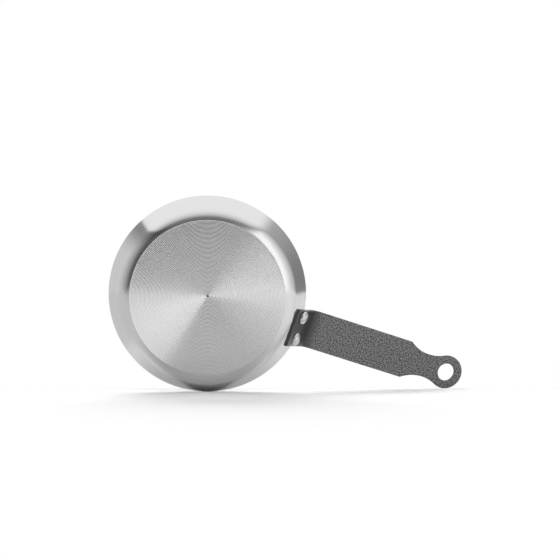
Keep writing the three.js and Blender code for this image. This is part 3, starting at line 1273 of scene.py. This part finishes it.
@dataclass(frozen=True)
class PhotoView:
    """Where the photograph was taken from, with the pan standing on its rim and its base towards the camera.

    Attributes:
        roll: Turn of the handle below the photograph's horizontal.
        lean: Lean of the base's face down towards the floor.
        swing: Turn of the base's face to the side.
        right: Place of the pan's middle, right of the middle of the frame.
        down: Place of the pan's middle, below the middle of the frame.
        distance: Distance from the camera to the pan's middle.
        middle_height: Height of the pan's middle, on its axis in the part's frame.
        focal: Focal length in pixels of the photograph.
        frame: Side of the square photograph in pixels.
        floor_down: Height of the camera's axis over the floor.
        clip: Nearest and furthest distances that the camera sees.
    """

    roll: float = math.radians(19.82)
    lean: float = math.radians(6.58)
    swing: float = math.radians(-1.57)
    right: float = -43.97 * MM
    down: float = 8.90 * MM
    distance: float = 1400 * MM
    middle_height: float = 15.5 * MM
    focal: float = 2310.1
    frame: int = 560
    floor_down: float = 68.04 * MM
    clip: Pair = (10 * MM, 100.0)

    def axes(self) -> tuple[Vector, Vector, Vector]:
        """The photograph's own directions in the part's frame.

        Returns:
            Right, up and towards the camera.
        """
        turn = Matrix.Rotation(self.swing, 3, "Y") @ Matrix.Rotation(self.lean, 3, "X")
        turn = turn @ Matrix.Rotation(self.roll, 3, "Z")
        return turn[0].copy(), -turn[1], -turn[2]

    def place(self, right: float, up: float, towards: float) -> Vector:
        """A place given by its distances from the pan's middle in the photograph's directions."""
        axes = self.axes()
        return Vector((0.0, 0.0, self.middle_height)) + axes[0] * right + axes[1] * up + axes[2] * towards

    def floor_up(self) -> float:
        """Height of the floor, counted up from the pan's middle."""
        return self.down - self.floor_down

    def facing(self, place: Vector, up: Vector, towards: Vector) -> Matrix:
        """The matrix of an object that faces a direction.

        Args:
            place: Place of the object.
            up: Direction that its Y axis lies near.
            towards: Direction of its Z axis.

        Returns:
            The matrix.
        """
        side = up.cross(towards).normalized()
        turn = Matrix((side, towards.cross(side), towards)).transposed()
        return Matrix.Translation(place) @ turn.to_4x4()

    def camera(self) -> None:
        """Make the camera."""
        data = bpy.data.cameras.new("camera")
        data.lens = self.focal * data.sensor_width / self.frame
        data.clip_start, data.clip_end = self.clip
        camera = bpy.data.objects.new("camera", data)
        bpy.context.scene.collection.objects.link(camera)
        _, up, towards = self.axes()
        camera.matrix_world = self.facing(self.place(-self.right, self.down, self.distance), up, towards)
        bpy.context.scene.camera = camera


@dataclass(frozen=True)
class Panel:
    """A wall of the light tent round the pan, which only shows in the steel.

    Attributes:
        name: Name of the panel.
        middle: Place of its middle, right of, above and in front of the pan's middle.
        faces: Direction that it faces, as right, up and towards the camera.
        along: Direction that its length runs in, in the same way.
        size: Width and length.
        levels: Brightness at its start and at its end, where 1 is white.
        ramp: Distances from its middle along its length between which the brightness changes.
        edge: Distances from its middle across its width between which it gets dimmer.
        dim: Share of its brightness that is left past that edge.
    """

    name: str
    middle: Triple
    faces: Triple
    along: Triple
    size: Pair
    levels: Pair
    ramp: Pair
    edge: Pair = (0.0, 1.0)
    dim: float = 1.0


@dataclass(frozen=True)
class Lamp:
    """A very soft lamp, far away.

    Attributes:
        name: Name of the lamp.
        aside: Direction of the lamp, counted from the camera's towards the photograph's right, in degrees.
        elevation: Height of the lamp, in degrees.
        spread: Width of the lamp, in degrees.
        level: Brightness of a white sheet that faces the lamp.
    """

    name: str
    aside: float
    elevation: float
    spread: float
    level: float


# Half the width and the height of the light tent, its length, and the direction that it runs in
TENT = 2.0
TENT_LENGTH = 10 * TENT
TOWARDS = (0.0, 0.0, 1.0)


@dataclass
class Studio:
    """Pale floor, white surroundings, soft lamps, and the light tent that shows in the steel.

    Attributes:
        view: The photograph's view.
        handle: The handle, whose grip shows in the tab's gloss.
        ambient: Brightness of the surroundings as a light.
        floor_size: Side of the floor.
        floor_level: Colour of the floor.
        floor_fill: Light that the camera sees on the floor besides what falls on it, at three depths.
        fill_depths: Those depths, in front of the pan's middle.
        floor_fade: Distances behind the pan's middle between which the floor goes over into the background.
        stand_fill: The light of the same kind on the surface that the pan stands on when upright.
        stand_drop: Gap between that surface and the base.
        table_size: Width and length of the part of the floor that shows in the steel.
        table_middle: Distance that the middle of that part lies in front of the pan's middle.
        table_level: Colour of that part behind the pan.
        table_ahead_light: Its colour in front of the pan, made lighter as painted light.
        table_left_shade: Its colour on the left of the view, made darker as painted shade.
        left_behind: Distances to the left of the pan's middle between which that comes in, behind the pan.
        left_ahead: The same in front of the pan.
        ahead_depths: Distances in front of the pan's middle between which the colour in front comes in.
        table_shade: Share of that colour that is left in the pan's own shade.
        shade_depths: Distances in front of the pan's middle at which the shade begins, is deepest and ends.
        shade_sides: Distances to the side of the pan's middle between which the shade goes.
        grip_level: Brightness of the grip's stand-in.
        card_reach: How far the stand-in reaches back over the bend.
        panels: Walls of the tent.
        lamps: The lamps.
    """

    view: PhotoView
    handle: Handle
    ambient: float = 0.32
    floor_size: float = 8.0
    floor_level: float = 0.85
    floor_fill: Triple = (0.11, 0.165, 0.075)
    fill_depths: Triple = (2 * MM, 48 * MM, 140 * MM)
    floor_fade: Pair = (30 * MM, 62 * MM)
    stand_fill: Triple = (0.40, 0.40, 0.40)
    stand_drop: float = 0.05 * MM
    table_size: Pair = (8.0, 4.3)
    table_middle: float = -1.85
    table_level: float = 0.81
    table_ahead_light: float = 0.88
    table_left_shade: float = 0.64
    left_behind: Pair = (60 * MM, 110 * MM)
    left_ahead: Pair = (-10 * MM, 60 * MM)
    ahead_depths: Pair = (5 * MM, 35 * MM)
    table_shade: float = 0.54
    shade_depths: Triple = (-75 * MM, -12 * MM, 5 * MM)
    shade_sides: Pair = (15 * MM, 85 * MM)
    grip_level: float = 0.12
    card_reach: float = 7 * MM
    panels: tuple[Panel, ...] = (
        Panel(
            "tent_roof", (0, TENT, 0), (0, -1, 0), TOWARDS, (2 * TENT, TENT_LENGTH),
            levels=(1.07, 0.24), ramp=(-0.2 * TENT, 2.4 * TENT), edge=(0.7 * TENT, TENT), dim=0.5,
        ),
        Panel(
            "tent_left", (-TENT, 0, 0), (1, 0, 0), TOWARDS, (2 * TENT, TENT_LENGTH),
            levels=(0.76, 0.13), ramp=(-0.7 * TENT, 2.0 * TENT), edge=(0.43 * TENT, 0.9 * TENT), dim=0.4,
        ),
        Panel(
            "tent_right", (TENT, 0, 0), (-1, 0, 0), TOWARDS, (2 * TENT, TENT_LENGTH),
            levels=(0.25, 1.35), ramp=(-1.4 * TENT, 1.9 * TENT),
        ),
        Panel(
            "tent_corner", (0.985 * TENT, 0, -2.8 * TENT), (-1, 0, 0), (0, 1, 0), (4.4 * TENT, 2 * TENT),
            levels=(0.26, 0.48), ramp=(0.1 * TENT, TENT),
        ),
        Panel(
            "tent_flap", (0.99 * TENT, 0.88 * TENT, 3.28 * TENT), (-1, 0, 0), (0, -0.165, 0.986),
            (0.6 * TENT, 4.2 * TENT), levels=(0.6, 0.34), ramp=(-2 * TENT, TENT),
        ),
        Panel(
            "tent_front", (0, 0, TENT_LENGTH / 2), (0, 0, -1), (0, 1, 0), (2 * TENT, 4 * TENT),
            levels=(0.18, 0.18), ramp=(0, 1),
        ),
    )
    lamps: tuple[Lamp, ...] = (
        Lamp("top_lamp", aside=188, elevation=68, spread=45, level=0.22),
        Lamp("back_lamp", aside=188, elevation=31, spread=40, level=0.72),
        Lamp("front_lamp", aside=15, elevation=20, spread=40, level=0.60),
    )

    def world(self) -> None:
        """White surroundings to the camera and in the steel, and a dimmer light on everything."""
        world = bpy.data.worlds.new("studio")
        world.use_nodes = True
        bpy.context.scene.world = world
        graph = Graph(world.node_tree)
        rays = graph.node("ShaderNodeLightPath").outputs
        seen = graph.math("MAXIMUM", rays["Is Camera Ray"], rays["Is Glossy Ray"])
        seen = graph.math("MAXIMUM", seen, rays["Is Transmission Ray"])
        level = graph.ramp(seen, (0.0, 1.0), (self.ambient, 1.0))
        sky = world.node_tree.nodes["Background"]
        sky.inputs["Color"].default_value = grey(1.0)
        world.node_tree.links.new(level, sky.inputs["Strength"])

    def own_shade(self, graph: StageGraph) -> Socket:
        """How much of the table's colour is left behind the pan, where its own shade lies.

        Args:
            graph: Tree of the table's material.

        Returns:
            The socket of the share that is left.
        """
        begin, deepest, end = (depth - self.table_middle for depth in self.shade_depths)
        behind = graph.ramp(graph.along, (begin, deepest), (1.0, self.table_shade))
        ahead = graph.ramp(graph.along, (deepest, end), (self.table_shade, 1.0))
        sides = graph.ramp(graph.math("ABSOLUTE", graph.aside), self.shade_sides, (self.table_shade, 1.0))
        return graph.math("MAXIMUM", graph.math("MAXIMUM", behind, ahead), sides)

    def sides(self, graph: StageGraph) -> Socket:
        """The table's colour out of the pan's shade, with painted shade on the left of the view and painted
        light in front of the pan.

        Args:
            graph: Tree of the table's material.

        Returns:
            The socket of the colour's level.
        """
        # Painted shade on the left side of the table and painted light in front of the pan.
        behind = graph.ramp(graph.aside, self.left_behind, (self.table_level, self.table_left_shade))
        ahead = graph.ramp(graph.aside, self.left_ahead, (self.table_ahead_light, self.table_left_shade))
        near, far = (depth - self.table_middle for depth in self.ahead_depths)
        return graph.ramp(graph.along, (near, far), (behind, ahead))

    def table_material(self, name: str) -> bpy.types.Material:
        """The part of the floor that shows in the steel, clear from below.

        Args:
            name: Name of the material.

        Returns:
            The material.
        """
        graph = StageGraph(name)
        level = graph.math("MULTIPLY", self.own_shade(graph), self.sides(graph))
        return graph.made(graph.from_above(graph.pale(level)))

    def floor_material(self, name: str, fill: Triple, fade: Pair) -> bpy.types.Material:
        """A pale floor that is clear from below.

        Args:
            name: Name of the material.
            fill: Light that the camera sees on it besides what falls on it, at the three depths.
            fade: Distances back from its middle between which it goes over into the background.

        Returns:
            The material.
        """
        graph = StageGraph(name)
        camera = graph.node("ShaderNodeLightPath").outputs["Is Camera Ray"]
        near = graph.ramp(graph.along, self.fill_depths[:2], fill[:2])
        far = graph.ramp(graph.along, self.fill_depths[1:], fill[1:])
        extra = graph.glow(graph.math("MULTIPLY", camera, graph.math("MINIMUM", near, far)))
        pale = graph.pale(grey(self.floor_level))
        lit = graph.node("ShaderNodeAddShader", {0: pale, 1: extra}).outputs[0]
        gone = graph.ramp(graph.along, (-fade[0], -fade[1]))
        return graph.made(graph.from_above(lit, gone))

    def panel_material(self, panel: Panel) -> bpy.types.Material:
        """A panel's brightness, which changes along its length and past its edge.

        Args:
            panel: The panel.

        Returns:
            The material, under the panel's name.
        """
        graph = StageGraph(panel.name)
        dimmed = graph.ramp(graph.aside, panel.edge, (1.0, panel.dim))
        level = graph.math("MULTIPLY", graph.ramp(graph.along, panel.ramp, panel.levels), dimmed)
        return graph.made(graph.glow(level))

    def sheet(self, size: Pair, matrix: Matrix, material: bpy.types.Material, *kinds: RayKind) -> None:
        """Put up a flat stage object that faces its own +Z, under its material's name.

        Args:
            size: Width and length.
            matrix: Place of its middle.
            material: Its material.
            kinds: The kinds of ray that see it.
        """
        half = (size[0] / 2, size[1] / 2)
        corners = [(x * half[0], y * half[1], 0.0) for x, y in ((-1, -1), (1, -1), (1, 1), (-1, 1))]
        made = object_of(material.name, corners, [(0, 1, 2, 3)])
        made.matrix_world = matrix
        made.data.materials.append(material)
        for kind in RayKind:
            setattr(made, kind.value, kind in kinds)

    def on_floor(self, towards: float) -> Matrix:
        """A place on the photograph's floor, at a distance in front of the pan's middle."""
        _, up, forward = self.view.axes()
        return self.view.facing(self.view.place(0.0, self.view.floor_up(), towards), forward, up)

    def floors(self) -> None:
        """The photograph's floor, the part that shows in the steel, and what the upright pan stands on."""
        size = (self.floor_size, self.floor_size)
        floor = self.floor_material("photo_floor", self.floor_fill, self.floor_fade)
        table = self.table_material("table_top")
        stand = self.floor_material("standing_surface", self.stand_fill, size)
        under = Matrix.Translation((0.0, 0.0, -self.stand_drop))
        self.sheet(size, self.on_floor(0.0), floor, RayKind.CAMERA, RayKind.DIFFUSE, RayKind.SHADOW)
        self.sheet(self.table_size, self.on_floor(self.table_middle), table, RayKind.GLOSSY)
        self.sheet(size, under, stand, RayKind.CAMERA)

    def tent(self) -> None:
        """Hang the tent's panels, seen in the steel alone."""
        turn = Matrix(self.view.axes()).transposed()
        for panel in self.panels:
            faces, along = turn @ Vector(panel.faces), turn @ Vector(panel.along)
            matrix = self.view.facing(self.view.place(*panel.middle), along, faces)
            self.sheet(panel.size, matrix, self.panel_material(panel), RayKind.GLOSSY)

    def grip_card(self) -> None:
        """Put a card inside the grip, which shows in the tab's gloss as the grip does."""
        handle = self.handle
        length = handle.grip_length + self.card_reach
        size = (length, handle.width - 2 * handle.edge_round)
        graph = StageGraph("grip_card")
        middle = handle.grip_matrix(handle.grip_length - length / 2)
        self.sheet(size, middle, graph.made(graph.glow(self.grip_level)), RayKind.GLOSSY)

    def light(self) -> None:
        """Set up every lamp, unseen in the steel."""
        right, up, towards = self.view.axes()
        for lamp in self.lamps:
            aside, height = math.radians(lamp.aside), math.radians(lamp.elevation)
            flat = math.sin(aside) * right + math.cos(aside) * towards
            source = math.cos(height) * flat + math.sin(height) * up
            data = bpy.data.lights.new(lamp.name, "SUN")
            data.angle = math.radians(lamp.spread)
            data.energy = lamp.level * math.pi
            made = bpy.data.objects.new(lamp.name, data)
            bpy.context.scene.collection.objects.link(made)
            made.matrix_world = self.view.facing(source, right.cross(source), source)
            made.visible_glossy = False

    def build(self) -> None:
        """Set up the whole studio."""
        self.world()
        self.floors()
        self.tent()
        self.grip_card()
        self.light()


def main() -> None:
    """Build the pan's pieces on the frame, then the studio and the camera."""
    logging.basicConfig(level=logging.INFO, format="%(name)s: %(message)s")
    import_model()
    bpy.context.scene.view_settings.view_transform = "Standard"
    rim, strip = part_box("pan_body")[1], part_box("handle")
    pan = PanBody(rim_radius=rim.x)
    handle = Handle(pan, width=strip[1].y - strip[0].y)
    wall = TurnedSteel(
        "satin_steel", levels=(0.69, 0.73), roughness=(0.12, 0.18), stretch=0.3, ring=0.35 * MM
    )
    base = TurnedSteel(
        "turned_steel", levels=(0.78, 0.82), roughness=(0.12, 0.17), stretch=0.4, ring=0.3 * MM,
        centre=pan.off_centre, mark=pan.mark_radius,
    )
    pan.build(wall.material(), base.material())
    handle.build(HammerPaint())
    Rivets(pan, handle).build(RivetSteel().material())
    view = PhotoView()
    Studio(view, handle).build()
    view.camera()


if __name__ == "__main__":
    main()
